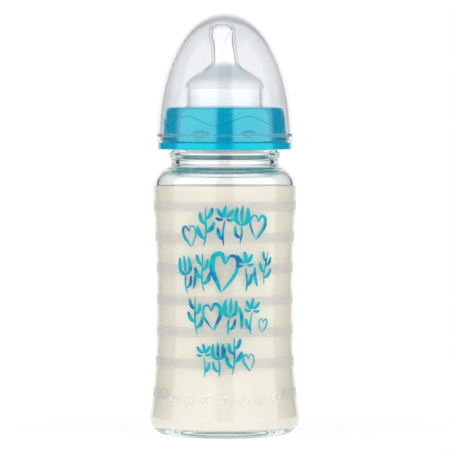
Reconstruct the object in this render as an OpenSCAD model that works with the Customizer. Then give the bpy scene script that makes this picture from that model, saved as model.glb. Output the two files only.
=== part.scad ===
// Wide-neck glass baby bottle with teat, screw ring and dome cap. Millimetres, +Z up.
// The origin is the centre of the foot ring, on the table.

/* [Glass body] */
// Height from the table to the root of the neck
body_h = 120.8; // [100:0.2:146]
// Radius at the widest place, just above the heel
heel_r = 33.5; // [31:0.1:40.5]
// Radius of the straight waist
waist_r = 30.6; // [25.4:0.1:31]
// Radius under the shoulder
shoulder_r = 32.2; // [31:0.1:38.8]
// Round of the heel
heel_round = 8; // [6:0.5:9.6]
// Height of the round shoulder
shoulder_round = 7.7; // [6:0.1:10]
// Height where the lower flare meets the waist
waist_bottom_z = 50; // [41:1:60]
// Height where the upper flare leaves the waist
waist_top_z = 72; // [62:1:86]
// Thickness of the side wall
glass_wall = 2.4; // [2:0.1:3]
// Thickness of the floor at the foot ring
glass_floor = 4.4; // [3.5:0.1:5.4]
// Width of the flat ring that the bottle stands on
foot_w = 5; // [4:0.5:6]
// How far the floor is pushed up inside the foot ring
punt_h = 1.2; // [0.8:0.1:1.6]

/* [Neck] */
// Radius of the neck's outside under the thread
finish_r = 23.2; // [19.3:0.1:27.9]
// Wall of the neck
neck_wall = 2.4; // [2:0.1:2.9]
// Height from the root of the neck to the rim
neck_h = 23.2; // [22.4:0.2:28]
// How far the plain neck below the bead stands out from the threaded part
neck_step = 1; // [0.8:0.1:1.2]
// How far the bead stands out from the plain neck
bead_out = 0.9; // [0.6:0.1:1.1]
// Half the height of the bead
bead_half_h = 1.2; // [1:0.1:1.4]
// Round where the neck meets the shoulder
neck_fillet = 1; // [0.6:0.1:1.2]
// Height of the bead's centre above the root of the neck
bead_up = 5.5; // [4.6:0.1:6]

/* [Thread] */
// How far below the rim the thread's lower end starts
thread_below_rim = 10; // [9.6:0.1:11]
// Rise of the thread in one turn
pitch = 5; // [4.5:0.1:6]
// Turns of thread on the glass and in the ring
thread_turns = 1.25; // [1:0.05:1.5]
// Height of the thread ridges
thread_h = 1.4; // [1.1:0.1:1.7]
// Width of a ridge where it leaves its wall
ridge_root_w = 2.4; // [2:0.1:2.4]
// Width of a ridge at its crest
ridge_crest_w = 1; // [0.8:0.1:1.2]
// Radial gap between a ridge's crest and the wall it faces
crest_gap = 0.25; // [0.2:0.05:0.4]
// Axial gap between the flanks that bear on each other
flank_gap = 0.1; // [0.1:0.05:0.2]

/* [Screw ring] */
// Wall of the ring at its stop flange
ring_wall = 2.9; // [2.5:0.1:3.5]
// How much the wall thins towards the top
ring_draft = 1.2; // [0.8:0.1:1.4]
// Thickness of the ring's top plate
plate_t = 2.2; // [1.8:0.1:2.7]
// How far the plate rises from its edge to its hole
plate_crown = 0.6; // [0:0.1:0.8]
// How far the ring reaches down from the glass rim
skirt_h = 15.4; // [14.5:0.1:16]
// Thickness of the stop flange
flange_t = 3.1; // [2.5:0.1:3.8]
// How far the stop flange stands out from the ring's wall
flange_out = 2.3; // [2.3:0.1:2.8]
// Number of waves round the ring
wave_count = 6; // [5:1:8]
// Height of the wave line's middle above the flange
wave_mid_h = 9.5; // [8.4:0.1:10]
// Height of the wave from its middle to a crest
wave_rise = 2.1; // [1.6:0.1:2.5]
// How far the wall below the wave line stands proud
wave_step = 0.3; // [0.2:0.05:0.4]
// Number of snap lugs round the ring
lug_count = 8; // [6:1:10]
// Half the width of a snap lug
lug_half_w = 2.6; // [2:0.1:3.1]
// Half the height of a snap lug
lug_half_h = 1.1; // [0.9:0.1:1.3]
// How far a snap lug stands out from the band
lug_out = 0.5; // [0.4:0.05:0.6]

/* [Teat] */
// Radius of the teat's wall where it passes through the ring
teat_wall_r = 17.5; // [14.6:0.1:18]
// Thickness of the silicone
teat_t = 1.6; // [1.3:0.1:1.9]
// Thickness of the sealing flange
teat_flange_t = 1.8; // [1.5:0.1:2.2]
// Height of the straight wall above the ring
teat_wall_h = 8.2; // [6.8:0.1:9.8]
// How far the dome stands out over the wall
dome_out = 0.6; // [0.4:0.1:0.7]
// Height of the dome, from its edge to the stem
dome_h = 13.3; // [11:0.1:16]
// Radius of the nipple where it leaves the dome
foot_nipple_r = 6; // [5:0.1:7.2]
// Radius of the nipple where it is narrowest
stem_r = 5.65; // [4.7:0.05:6.8]
// Radius of the nipple's bulb
bulb_r = 6.05; // [5:0.05:7.3]
// Height of the nipple's narrowest place above the dome
stem_up = 6; // [5:0.2:7.2]
// Height of the bulb's widest place above the dome
bulb_up = 11.6; // [10:0.2:13.8]
// How far the bulb leans to one side, as in a teat shaped for the palate
nipple_lean = 1.2; // [0:0.1:1.4]
// Radius of the flat at the tip
tip_flat_r = 2.8; // [2.4:0.1:3.4]
// Length of the nipple, from the dome to the tip
nipple_h = 16.6; // [13.8:0.1:20]
// Radius of the hole in the tip
feed_hole_r = 0.25; // [0.2:0.05:0.4]

/* [Cap] */
// Wall of the cap
cap_wall = 1.3; // [1.1:0.1:1.5]
// Thickness of the cap at its top
cap_top_t = 2.4; // [2:0.1:2.9]
// Gap between the nipple's tip and the cap
tip_gap = 1; // [0.8:0.1:2]
// Gap between the cap's wall and the snap lugs
cap_side_gap = 1; // [0.8:0.1:1.2]
// Exponent of the dome's curve: 2 is an ellipse, and more is fuller
dome_power = 2.12; // [2:0.02:2.4]
// Height of the snap bead inside the cap's rim
snap_bead_h = 2.1; // [1.8:0.1:2.5]

/* [Contents] */
// How far the milk stands below the root of the neck
milk_gap = 8.4; // [8:0.2:40]

/* [Relief] */
// How far the hearts stand out of the glass
relief_out = 0.35; // [0.2:0.05:0.5]
// Size of a heart, as the side of its square
heart_side = 3.2; // [2.6:0.1:3.8]
// Width of a heart's outline
heart_line = 0.7; // [0.5:0.1:0.8]
// Number of hearts in the row
heart_count = 7; // [3:2:9]
// Angle between two hearts
heart_step = 15; // [14:1:18]
// Height of the row above the table
relief_z = 17.5; // [15:0.5:20]

/* [Hidden] */
$fn = 96;

seat_gap = 0.02;    // between faces that seal or bear on each other
milk_film = 0.05;   // between the milk and the glass, so that they share no face
slip_gap = 0.25;    // between the teat's wall and the ring's hole
snap_gap = 0.1;     // between the cap's snap bead and the lugs
rest_gap = 0.5;     // between the cap's rim and the stop flange
sunk = 0.5;         // how far a raised feature reaches into its wall
arc_steps = 8;      // points along a quarter round
curve_steps = 14;   // points along a long curve
end_steps = 4;      // points along a small round
thread_segments = 48; // facets in one turn of thread
wave_segments = 96; // facets round the wave band
wave_turn = 7.5;    // angle from the front to the nearest trough
heart_fn = 24;
relief_reach = 1.6; // half height of the skin that holds the hearts, in sides of a heart
relief_steps = 6;
punt_slope = 3;     // run of the foot's inner slope for each step of its height
lug_slot = 0.2;     // how far a lug's upright side stays under the ring's wall
lug_crown = 0.7;    // where a lug's side turns over, as a share of its half height
lug_shoulder = 0.75; // and how far out it is there, as a share of the lug's height

// Small rounds
rim_round = 0.8;
plate_round = 1.6;
floor_corner = 1;   // where the glass's floor turns up into the heel
rim_edge = 0.4;     // round of the ring's and the cap's lower edges
flange_over = 0.05; // how far the teat's flange reaches over the ring's ridge

// Heights, all above the table
rim_z = body_h + neck_h;
bead_z = body_h + bead_up;
milk_z = body_h - milk_gap;
plate_bottom_z = rim_z + teat_flange_t + 2 * seat_gap;
ring_top_z = plate_bottom_z + plate_t;
ring_bottom_z = rim_z - skirt_h;
flange_top_z = ring_bottom_z + flange_t;
dome_edge_z = ring_top_z + teat_wall_h;
stem_z = dome_edge_z + dome_h;
bulb_z = stem_z + bulb_up;
tip_z = stem_z + nipple_h;
cap_bottom_z = flange_top_z + rest_gap;
cap_top_z = tip_z + tip_gap + cap_top_t;

// Radii
bore_r = finish_r - neck_wall;
neck_r = finish_r + neck_step;
bead_r = neck_r + bead_out;
ring_in_r = finish_r + thread_h + crest_gap;
ring_r = ring_in_r + ring_wall;
ring_top_r = ring_r - ring_draft;
flange_r = ring_r + flange_out;
lug_r = ring_r + lug_out;
snap_r = lug_r + snap_gap;
cap_in_r = lug_r + cap_side_gap;
cap_r = cap_in_r + cap_wall;
ring_hole_r = teat_wall_r + slip_gap;
dome_r = teat_wall_r + dome_out;
teat_flange_r = ring_in_r - thread_h + flange_over;

// Thread: the glass ridge starts above the bead, and the ring's ridge bears on its underside
ramp_angle = 30;    // run-out at each end of a ridge
ridge_low_z = rim_z - thread_below_rim;
flank_slope = (ridge_root_w - ridge_crest_w) / 2 / thread_h;
ring_ridge_drop = ridge_root_w - flank_slope * (thread_h + crest_gap) + flank_gap;
ring_ridge_lead = 90; // how far round the ring's ridge starts before the glass one

// ---- Curves ----

// Points on an elliptical arc, from angle a to angle b
function arc(centre, rx, ry, a, b, n = arc_steps) =
    [for (i = [0:n]) let (t = a + (b - a) * i / n)
        [centre[0] + rx * cos(t), centre[1] + ry * sin(t)]];

// Point at t on a cubic curve with two end points and two pull points
function bezier(p, t) =
    pow(1 - t, 3) * p[0] + 3 * t * pow(1 - t, 2) * p[1]
    + 3 * t * t * (1 - t) * p[2] + pow(t, 3) * p[3];

function smooth(t) = t * t * (3 - 2 * t);

// The same outline from its other end
function reversed(points) = [for (i = [len(points) - 1:-1:0]) points[i]];

// ---- Glass ----

// Angle by which the heel's round runs past level, to meet the flare smoothly
flare_angle = atan(2 * (heel_r - waist_r) / (waist_bottom_z - heel_round));
heel_top_z = heel_round * (1 + sin(flare_angle));
heel_top_r = heel_r - heel_round * (1 - cos(flare_angle));
shoulder_z = body_h - shoulder_round;

// Outside radius of the side wall at a height between the heel and the shoulder
function wall_r(z) =
    z < waist_bottom_z
    ? waist_r + (heel_top_r - waist_r)
        * pow((waist_bottom_z - z) / (waist_bottom_z - heel_top_z), 2)
    : z < waist_top_z
    ? waist_r
    : waist_r + (shoulder_r - waist_r)
        * smooth((z - waist_top_z) / (shoulder_z - waist_top_z));

// Side wall from the heel to a height, moved inwards by inset
function wall_curve(from_z, to_z, inset) = concat(
    [for (i = [1:curve_steps]) let (z = from_z + (waist_bottom_z - from_z) * i / curve_steps)
        [wall_r(z) - inset, z]],
    [for (i = [0:curve_steps]) let (z = waist_top_z + (to_z - waist_top_z) * i / curve_steps)
        [wall_r(z) - inset, z]]);

heel_centre = [heel_r - heel_round, heel_round];
foot_in_r = heel_centre[0] - foot_w;

function outer_glass() = concat(
    [[0, punt_h], [foot_in_r - punt_slope * punt_h, punt_h], [foot_in_r, 0]],
    arc(heel_centre, heel_round, heel_round, -90, flare_angle, 2 * arc_steps),
    wall_curve(heel_top_z, shoulder_z, 0),
    arc([neck_r + neck_fillet, shoulder_z], shoulder_r - neck_r - neck_fillet,
        shoulder_round, 0, 90, 2 * arc_steps),
    arc([neck_r + neck_fillet, body_h + neck_fillet], neck_fillet, neck_fillet, 270, 180, end_steps),
    arc([neck_r, bead_z], bead_out, bead_half_h, -90, 90),
    [[finish_r, bead_z + bead_half_h + neck_step]],
    arc([finish_r - rim_round, rim_z - rim_round], rim_round, rim_round, 0, 90, end_steps));

// Inside of the glass from the middle of the floor up to a height below the shoulder, moved inwards
function inner_wall(to_z, inset) =
    let (floor_z = glass_floor + inset, r = heel_round - glass_wall - inset,
         meet = asin((floor_z + floor_corner - heel_round) / (r - floor_corner)),
         corner = heel_centre + (r - floor_corner) * [cos(meet), sin(meet)])
    concat(
        [[0, floor_z]],
        [for (i = [0:end_steps - 1]) let (t = -90 + (90 + meet) * i / end_steps)
            corner + floor_corner * [cos(t), sin(t)]],
        arc(heel_centre, r, r, meet, flare_angle),
        wall_curve(heel_round + r * sin(flare_angle), to_z, glass_wall + inset));

// The inside of the shoulder keeps the wall's thickness, then turns up into the neck's bore
function inner_shoulder() =
    let (x = neck_r + neck_fillet, turn_r = x - bore_r)
    concat(
        arc([x, shoulder_z], shoulder_r - glass_wall - x, shoulder_round - glass_wall, 0, 90),
        arc([x, body_h - glass_wall + turn_r], turn_r, turn_r, 270, 180),
        arc([bore_r + rim_round, rim_z - rim_round], rim_round, rim_round, 180, 90, end_steps));

function glass_outline() = concat(
    outer_glass(), reversed(concat(inner_wall(shoulder_z, 0), inner_shoulder())));

// A heart outline: a square on its corner with two half rounds, less the same heart shrunk
module heart(side) {
    rotate(45) square(side, center = true);
    for (turn = [0, 90])
        rotate(45 + turn) translate([side / 2, 0]) circle(side / 2, $fn = heart_fn);
}

module heart_outline() {
    difference() {
        heart(heart_side);
        heart(heart_side - 2 * heart_line);
    }
}

// Hearts in a row round the front, cut to a thin skin on the flared wall
module heart_relief() {
    low = relief_z - relief_reach * heart_side;
    high = relief_z + relief_reach * heart_side;
    heights = [for (i = [0:relief_steps]) low + (high - low) * i / relief_steps];
    intersection() {
        rotate_extrude()
            polygon(concat(
                [for (z = heights) [wall_r(z) + relief_out, z]],
                reversed([for (z = heights) [wall_r(z) - sunk, z]])));
        for (i = [0:heart_count - 1])
            rotate([90, 0, (i - (heart_count - 1) / 2) * heart_step])
                translate([0, relief_z, heel_r / 2])
                    linear_extrude(heel_r) heart_outline();
    }
}

// ---- Thread ridge ----

// How much of its height a ridge has at step i of n, falling under its wall at both ends
function ridge_share(i, n, ramp) = min(1, min(i, n - i) / ramp);

// A ridge that winds up from angle start at height z, on a wall of radius r.
// out is 1 for a ridge that stands outwards, and -1 for one that stands inwards.
module ridge(r, out, start, z) {
    n = round(thread_segments * thread_turns);
    ramp = thread_segments * ramp_angle / 360;
    hidden = sunk / 2;
    points = [for (i = [0:n]) let (
            a = start + 360 * thread_turns * i / n,
            up = z + pitch * thread_turns * i / n,
            crest = r + out * ((thread_h + hidden) * ridge_share(i, n, ramp) - hidden),
            root = r - out * sunk)
        for (p = [[root, -ridge_root_w / 2], [crest, -ridge_crest_w / 2],
                  [crest, ridge_crest_w / 2], [root, ridge_root_w / 2]])
            [p[0] * cos(a), p[0] * sin(a), up + p[1]]];
    sides = [for (i = [0:n - 1], k = [0:3]) let (
            a = 4 * i + k, b = 4 * i + (k + 1) % 4)
        each [[a, b, b + 4], [a, b + 4, a + 4]]];
    ends = [[0, 3, 2], [0, 2, 1], [4 * n, 4 * n + 1, 4 * n + 2], [4 * n, 4 * n + 2, 4 * n + 3]];
    faces = concat(sides, ends);
    polyhedron(points, out > 0 ? faces : [for (f = faces) [f[0], f[2], f[1]]]);
}

module glass_bottle() {
    color([0.85, 0.93, 0.92, 0.4]) {
        rotate_extrude() polygon(glass_outline());
        ridge(finish_r, 1, 0, ridge_low_z);
        heart_relief();
    }
}

// ---- Milk ----

module milk() {
    color([0.96, 0.94, 0.86])
        rotate_extrude()
            polygon(concat(inner_wall(milk_z, milk_film), [[0, milk_z]]));
}

// ---- Teat ----

dome_pull = 0.46;   // how full the dome is, as a share of its height
nipple_fn = 36;
ledge = 0.03;       // how far the nipple's foot stands inside the dome's edge
nipple_steps = 6;
vent_r = 1.1;       // radius of the vent's nub
vent_h = 1.6;       // how far the nub hangs under the flange
vent_hole_r = 0.3;
vent_gap = 0.5;     // between the nub and the neck's bore
vent_y = bore_r - vent_r - vent_gap;
teat_bottom_z = rim_z + seat_gap;
teat_flange_z = teat_bottom_z + teat_flange_t;

// Curve of the dome up to the nipple, moved inwards
function dome_curve(inset) =
    let (low = [dome_r - inset, dome_edge_z], high = [foot_nipple_r - inset, stem_z],
         pull = [0, dome_pull * dome_h])
    [for (i = [0:curve_steps]) bezier([low, low + pull, high - pull, high], i / curve_steps)];

// Curve of the nipple from the dome to the flat of its tip, moved inwards
function nipple_curve(inset) =
    let (flat_r = tip_flat_r - inset / 2, waist_z = stem_z + stem_up, n = nipple_steps,
         foot_r = foot_nipple_r - ledge)
    concat(
        [[foot_r - inset, stem_z - sunk]],
        [for (i = [0:n])
            [foot_r + (stem_r - foot_r) * smooth(i / n) - inset,
             stem_z + stem_up * i / n]],
        [for (i = [1:n])
            [stem_r + (bulb_r - stem_r) * smooth(i / n) - inset,
             waist_z + (bulb_z - waist_z) * i / n]],
        [for (i = [1:n]) let (t = 90 * i / n)
            [flat_r + (bulb_r - inset - flat_r) * cos(t),
             bulb_z + (tip_z - inset - bulb_z) * sin(t)]]);

// How far to one side the nipple's centre is at a height
function lean(z) = -nipple_lean * smooth(max(0, min(1, (z - stem_z) / bulb_up)));

// A solid of rings round the leaning centre, one for each point of a curve
module leaning_lathe(curve) {
    n = nipple_fn;
    last = len(curve) - 1;
    points = [for (p = curve, k = [0:n - 1])
        [lean(p[1]) + p[0] * cos(360 * k / n), p[0] * sin(360 * k / n), p[1]]];
    sides = [for (i = [0:last - 1], k = [0:n - 1]) let (
            a = n * i + k, b = n * i + (k + 1) % n)
        each [[a, b + n, b], [a, a + n, b + n]]];
    bottom = [for (k = [0:n - 1]) k];
    top = [for (k = [n - 1:-1:0]) n * last + k];
    polyhedron(points, concat(sides, [bottom, top]));
}

module teat() {
    color([0.9, 0.92, 0.93, 0.6])
        difference() {
            union() {
                rotate_extrude()
                    polygon(concat(
                        [[0, teat_bottom_z], [teat_flange_r, teat_bottom_z],
                         [teat_flange_r, teat_flange_z], [teat_wall_r, teat_flange_z],
                         [teat_wall_r, dome_edge_z]],
                        dome_curve(0), [[0, stem_z]]));
                leaning_lathe(nipple_curve(0));
                translate([0, vent_y, teat_bottom_z - vent_h])
                    cylinder(h = vent_h + teat_flange_t / 2, r = vent_r);
            }
            rotate_extrude()
                polygon(concat(
                    [[0, teat_bottom_z - sunk], [teat_wall_r - teat_t, teat_bottom_z - sunk],
                     [teat_wall_r - teat_t, dome_edge_z]],
                    dome_curve(teat_t), [[0, stem_z]]));
            leaning_lathe(nipple_curve(teat_t));
            translate([lean(tip_z), 0, tip_z - 2 * teat_t])
                cylinder(h = 3 * teat_t, r = feed_hole_r);
            translate([0, vent_y, teat_bottom_z - 2 * vent_h])
                cylinder(h = 3 * vent_h + teat_flange_t, r = vent_hole_r);
        }
}

// ---- Screw ring ----

// Outside radius of the ring's drafted wall at a height
function ring_wall_r(z) =
    ring_r - ring_draft * (z - flange_top_z) / (ring_top_z - flange_top_z);

function ring_outline() = concat(
    [[ring_in_r + rim_edge, ring_bottom_z]],
    arc([flange_r - rim_edge, ring_bottom_z + rim_edge], rim_edge, rim_edge, -90, 0, 3),
    arc([flange_r - rim_edge, flange_top_z - rim_edge], rim_edge, rim_edge, 0, 90, 3),
    [[ring_r, flange_top_z]],
    arc([ring_top_r - plate_round, ring_top_z - plate_crown - plate_round],
        plate_round, plate_round, 4, 90),
    arc([ring_hole_r + rim_edge, ring_top_z - rim_edge], rim_edge, rim_edge, 90, 180, 3),
    [[ring_hole_r, plate_bottom_z], [ring_in_r, plate_bottom_z],
     [ring_in_r, ring_bottom_z + rim_edge]]);

// Band below the wave line, a little proud of the drafted wall
module wave_band() {
    low = flange_top_z - sunk;
    points = [for (i = [0:wave_segments - 1]) let (
            a = 360 * i / wave_segments,
            top = flange_top_z + wave_mid_h - wave_rise * cos(wave_count * (a + 90 + wave_turn)),
            inner = ring_in_r + ring_wall / 3)
        for (p = [[inner, low], [ring_wall_r(low) + wave_step, low],
                  [ring_wall_r(top) + wave_step, top], [inner, top]])
            [p[0] * cos(a), p[0] * sin(a), p[1]]];
    faces = [for (i = [0:wave_segments - 1], k = [0:3]) let (
            j = (i + 1) % wave_segments, a = 4 * i + k, b = 4 * i + (k + 1) % 4,
            c = 4 * j + (k + 1) % 4, d = 4 * j + k)
        each [[a, b, c], [a, c, d]]];
    polyhedron(points, faces);
}

// Oval lugs that the cap's bead snaps under
module snap_lugs() {
    lug_z = cap_bottom_z + snap_bead_h + lug_half_h + snap_gap;
    for (i = [0:lug_count - 1])
        rotate([90, 0, (i + 0.5) * 360 / lug_count])
            translate([0, lug_z, ring_in_r + ring_wall / 2])
                scale([lug_half_w / lug_half_h, 1, 1])
                    rotate_extrude($fn = 12)
                        polygon([[0, 0], [lug_half_h, 0],
                                 [lug_half_h, ring_wall / 2 - lug_slot],
                                 [lug_half_h * lug_crown, ring_wall / 2 + lug_out * lug_shoulder],
                                 [0, ring_wall / 2 + lug_out]]);
}

module screw_ring() {
    color([0.0, 0.69, 0.8]) {
        rotate_extrude() polygon(ring_outline());
        ridge(ring_in_r, -1, -ring_ridge_lead,
              ridge_low_z - ring_ridge_drop - pitch * ring_ridge_lead / 360);
        wave_band();
        snap_lugs();
    }
}

// ---- Cap ----

// Points on the dome from the rim to the top: (r / rx)^p + (z / rz)^p = 1
function cap_dome(rx, rz) =
    [for (i = [0:2 * curve_steps]) let (t = 90 * i / (2 * curve_steps))
        [rx * pow(cos(t), 2 / dome_power), cap_bottom_z + rz * pow(sin(t), 2 / dome_power)]];

function above(points, z) = [for (p = points) if (p[1] > z) p];

function cap_outline() =
    let (bead_top_z = cap_bottom_z + snap_bead_h, bead_slope = cap_in_r - snap_r)
    concat(
        [[snap_r + rim_edge, cap_bottom_z], [cap_r - rim_edge, cap_bottom_z]],
        above(cap_dome(cap_r, cap_top_z - cap_bottom_z), cap_bottom_z + rim_edge),
        reversed(above(cap_dome(cap_in_r, cap_top_z - cap_top_t - cap_bottom_z),
                       bead_top_z + bead_slope)),
        [[snap_r, bead_top_z], [snap_r, cap_bottom_z + rim_edge]]);

module dome_cap() {
    color([0.93, 0.95, 0.96, 0.3])
        rotate_extrude() polygon(cap_outline());
}

glass_bottle();
milk();
teat();
screw_ring();
dome_cap();
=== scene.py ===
"""Looks of a glass baby bottle of milk with a screw ring, a silicone teat and a clear dome cap.

Shapes are worked out in millimetres on the bottle's axis and turned into metres as meshes.
"""

import math

import bpy
import numpy as np
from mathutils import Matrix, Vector


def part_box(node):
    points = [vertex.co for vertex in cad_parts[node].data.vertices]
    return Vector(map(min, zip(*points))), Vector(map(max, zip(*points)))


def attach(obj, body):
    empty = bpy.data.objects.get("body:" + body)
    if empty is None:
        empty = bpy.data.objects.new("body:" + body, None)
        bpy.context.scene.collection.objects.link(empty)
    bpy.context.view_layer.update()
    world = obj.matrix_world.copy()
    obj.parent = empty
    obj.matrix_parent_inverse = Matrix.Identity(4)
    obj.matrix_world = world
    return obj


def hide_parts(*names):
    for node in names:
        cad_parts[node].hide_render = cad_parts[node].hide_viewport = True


MM = 0.001
FRONT = -90.0  # the printed front, in degrees round the axis from +X

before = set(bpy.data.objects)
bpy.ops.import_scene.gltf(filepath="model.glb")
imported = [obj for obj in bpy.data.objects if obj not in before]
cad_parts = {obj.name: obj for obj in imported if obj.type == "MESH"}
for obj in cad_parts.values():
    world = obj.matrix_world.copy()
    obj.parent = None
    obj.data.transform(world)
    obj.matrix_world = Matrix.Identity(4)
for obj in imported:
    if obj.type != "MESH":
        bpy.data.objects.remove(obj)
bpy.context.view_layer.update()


# ---- Camera ----

EYE = Vector((0.0, -1.9, 0.153))
AIM = Vector((0.0001, 0.0, 0.0945))
VIEW_WIDTH = 0.2025  # what the frame takes in across the bottle's axis
SENSOR = 36.0


def make_camera():
    """A long lens straight in front of the bottle."""
    lens = bpy.data.cameras.new("studio_camera")
    lens.sensor_width = SENSOR
    lens.lens = SENSOR * (AIM - EYE).length / VIEW_WIDTH
    camera = bpy.data.objects.new("studio_camera", lens)
    camera.location = EYE
    camera.rotation_euler = (AIM - EYE).to_track_quat("-Z", "Y").to_euler()
    bpy.context.scene.collection.objects.link(camera)
    bpy.context.scene.camera = camera


make_camera()


# ---- Sizes, in millimetres and degrees ----

# The glass: wall, foot with its shallow hollow, shoulder, and neck with its bead
HEEL_R, WAIST_R, SHOULDER_R = 33.5, 30.6, 32.2
HEEL_ROUND, SHOULDER_ROUND = 8.0, 7.7
HEEL_CENTRE = (HEEL_R - HEEL_ROUND, HEEL_ROUND)
WAIST_LOW, WAIST_HIGH = 50.0, 72.0
GLASS_WALL, GLASS_FLOOR = 2.4, 4.4
FLOOR_CORNER = 1.0  # where the floor turns up into the heel
FOOT_W, PUNT_H = 5.0, 1.2
PUNT_R, PUNT_EDGE_W, PUNT_EASE = HEEL_CENTRE[0] - FOOT_W - 3 * PUNT_H, 4.0, 1.5
BODY_H = 120.8
SHOULDER_Z = BODY_H - SHOULDER_ROUND
RIM_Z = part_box("glass_bottle")[1].z / MM
FINISH_R, NECK_WALL, NECK_STEP, NECK_FILLET, RIM_ROUND = 23.2, 2.4, 1.0, 1.0, 0.8
BEAD_OUT, BEAD_HALF, BEAD_Z = 0.9, 1.2, BODY_H + 5.5
NECK_R, BORE_R = FINISH_R + NECK_STEP, FINISH_R - NECK_WALL
# how the neck runs into its bead: out from the neck, and up from the top of the body
BEAD_FOOT = ((0.0, 1.8), (0.0, 3.6), (0.3, 4.1), (0.6, 4.5))

# The thread between the glass and the ring
PITCH, THREAD_TURNS, THREAD_H = 5.0, 1.25, 1.4
RIDGE_ROOT, RIDGE_CREST, RIDGE_RAMP = 1.2, 0.5, 30.0
RIDGE_Z = RIM_Z - 10
CREST_GAP, FLANK_GAP, RING_LEAD = 0.25, 0.1, 90.0

MILK_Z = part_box("milk")[1].z / MM

# The ring: wall, flange, plate, wave line, and the band with the lugs
RING_LOW, RING_TOP = (v.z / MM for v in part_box("screw_ring"))
RING_IN_R = FINISH_R + THREAD_H + CREST_GAP
RING_R = RING_IN_R + 2.9
RING_TOP_R = RING_R - 1.2
RING_HOLE_R = 17.75
FLANGE_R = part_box("screw_ring")[1].x / MM
FLANGE_TOP = RING_LOW + 3.1
PLATE_LOW, PLATE_CROWN, PLATE_ROUND = RING_TOP - 2.2, 0.6, 1.6
# the crown of the ring's plate: radius, and depth under the ring's top
PLATE_CURVE = ((24.9, PLATE_CROWN), (22.5, 0.35), (20.5, 0.0), (18.2, 0.0))
WAVES, WAVE_TURN, WAVE_MID, WAVE_RISE, WAVE_STEP = 6, 7.5, FLANGE_TOP + 9.5, 2.1, 0.3
# across the wave line: how far below its edge, and how far out as a share of the step
WAVE_EDGE = ((0.14, 1.0), (0.06, 0.85), (0.0, 0.3), (-0.05, -0.5), (-0.14, -0.8), (-0.28, -0.6), (-0.4, 0.0))
WAVE_NEAR = 0.12  # how far below the wave line the band's own surface ends
BAND_H, BAND_FILLET, BAND_FILLET_H = 7.3, 0.25, 0.4
LUGS, LUG_HALF_W, LUG_HALF_H, LUG_R = 8, 2.6, 1.1, RING_R + 0.5
LUG_SPAN = (1.9, 5.9)  # the part of the band that has the lugs on it
# slope of a lug, and the dip round it: depth, place and width, as shares of the lug's own sizes
LUG_SLOPE, MOAT, MOAT_AT, MOAT_W = 0.25, 0.9, 1.25, 0.2
EDGE = 0.4  # rounding of the edges of the ring and the cap
FIRST_ROW = 0.1  # how far past a corner the next row of points is

# The cap: dome, and the bead inside its rim that holds on under the lugs
CAP_LOW, CAP_TOP = (v.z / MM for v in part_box("dome_cap"))
CAP_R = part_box("dome_cap")[1].x / MM
CAP_IN_R, CAP_TOP_T, DOME_POWER = CAP_R - 1.3, 2.4, 2.12
SNAP_R, SNAP_H = LUG_R + 0.1, 2.1
LUG_Z = CAP_LOW + SNAP_H + LUG_HALF_H + 0.1
# how the cap's inside runs into its bead: out from the bead, and up from the bead's top
SNAP_CURVE = ((0.87, 1.3), (0.87, 0.6), (0.15, 0.5), (0.0, 0.0))
SNAP_UNDER, SNAP_OVER = 0.2, 0.3  # how far under that curve the bead starts, and over it the dome

# The teat: flange, wall, dome, nipple with its ribs, and vent
TEAT_LOW, TEAT_FLANGE_T = RIM_Z + 0.02, 1.8
TIP_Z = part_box("teat")[1].z / MM
TEAT_WALL_R, TEAT_T, TEAT_FLANGE_R, TEAT_ROUND = 17.5, 1.6, 23.5, 0.3
DOME_EDGE, DOME_H, DOME_R, DOME_PULL = RING_TOP + 8.2, 13.3, 18.1, 0.46
STEM_Z = DOME_EDGE + DOME_H
NIPPLE_FOOT_R, STEM_R, BULB_R, TIP_FLAT_R = 6.0, 5.65, 6.05, 2.8
STEM_UP, BULB_UP, NIPPLE_LEAN = 6.0, 11.6, 1.2
FEED_HOLE_R = 0.25
RIB_STARTS, RIB_TURN = (FRONT + 70, FRONT + 230), -110
RIB_H, RIB_WIDTH, RIB_TOP_Z, RIB_MIN_R = 0.8, 8, TIP_Z - 3, 2
RIB_EASE = 4  # a rib rises over the first quarter of its length and sinks over the last
VENT_R, VENT_H, VENT_HOLE_R, VENT_IN, VENT_GAP = 1.1, 1.6, 0.3, 0.5, 0.01

# The moulded hearts: their own sizes, then how many there are and where
HEART_SIDE, HEART_LINE, HEART_OUT = 3.2, 0.7, 0.35
HEARTS, HEART_STEP, HEART_Z = 7, 15.0, 17.5
HEART_SIDES = 12  # points across a heart's rounded line

# Points round the axis of each turned piece
GLASS_POINTS, MILK_POINTS, STRIPE_POINTS = 360, 160, 240
TEAT_POINTS, VENT_POINTS, RING_POINTS, CAP_POINTS = 144, 32, 480, 192


# ---- Curves ----


def arc(centre, rx, ry, start, end, steps):
    """Points on an ellipse from one angle to another, in degrees."""
    t = np.radians(np.linspace(start, end, steps + 1))
    return np.column_stack((centre[0] + rx * np.cos(t), centre[1] + ry * np.sin(t)))


def smooth(t):
    """From 0 to 1 with no corner at either end."""
    t = np.clip(t, 0.0, 1.0)
    return t * t * (3 - 2 * t)


def bezier(p, steps):
    """Points on a curve with two ends and two handles."""
    t = np.linspace(0.0, 1.0, steps + 1)[:, None]
    p = [np.asarray(q, float) for q in p]
    return (1 - t) ** 3 * p[0] + 3 * t * (1 - t) ** 2 * p[1] + 3 * t * t * (1 - t) * p[2] + t**3 * p[3]


def line(a, b, steps):
    """Evenly spaced points from one point to another."""
    return np.linspace(np.asarray(a, float), np.asarray(b, float), steps + 1)


def chain(*curves):
    """One outline from several, with doubled points left out."""
    points = np.vstack([np.atleast_2d(np.asarray(c, float)) for c in curves])
    keep = np.ones(len(points), bool)
    keep[1:] = np.linalg.norm(np.diff(points, axis=0), axis=1) > 1e-4
    return points[keep]


# ---- Meshes ----


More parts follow.
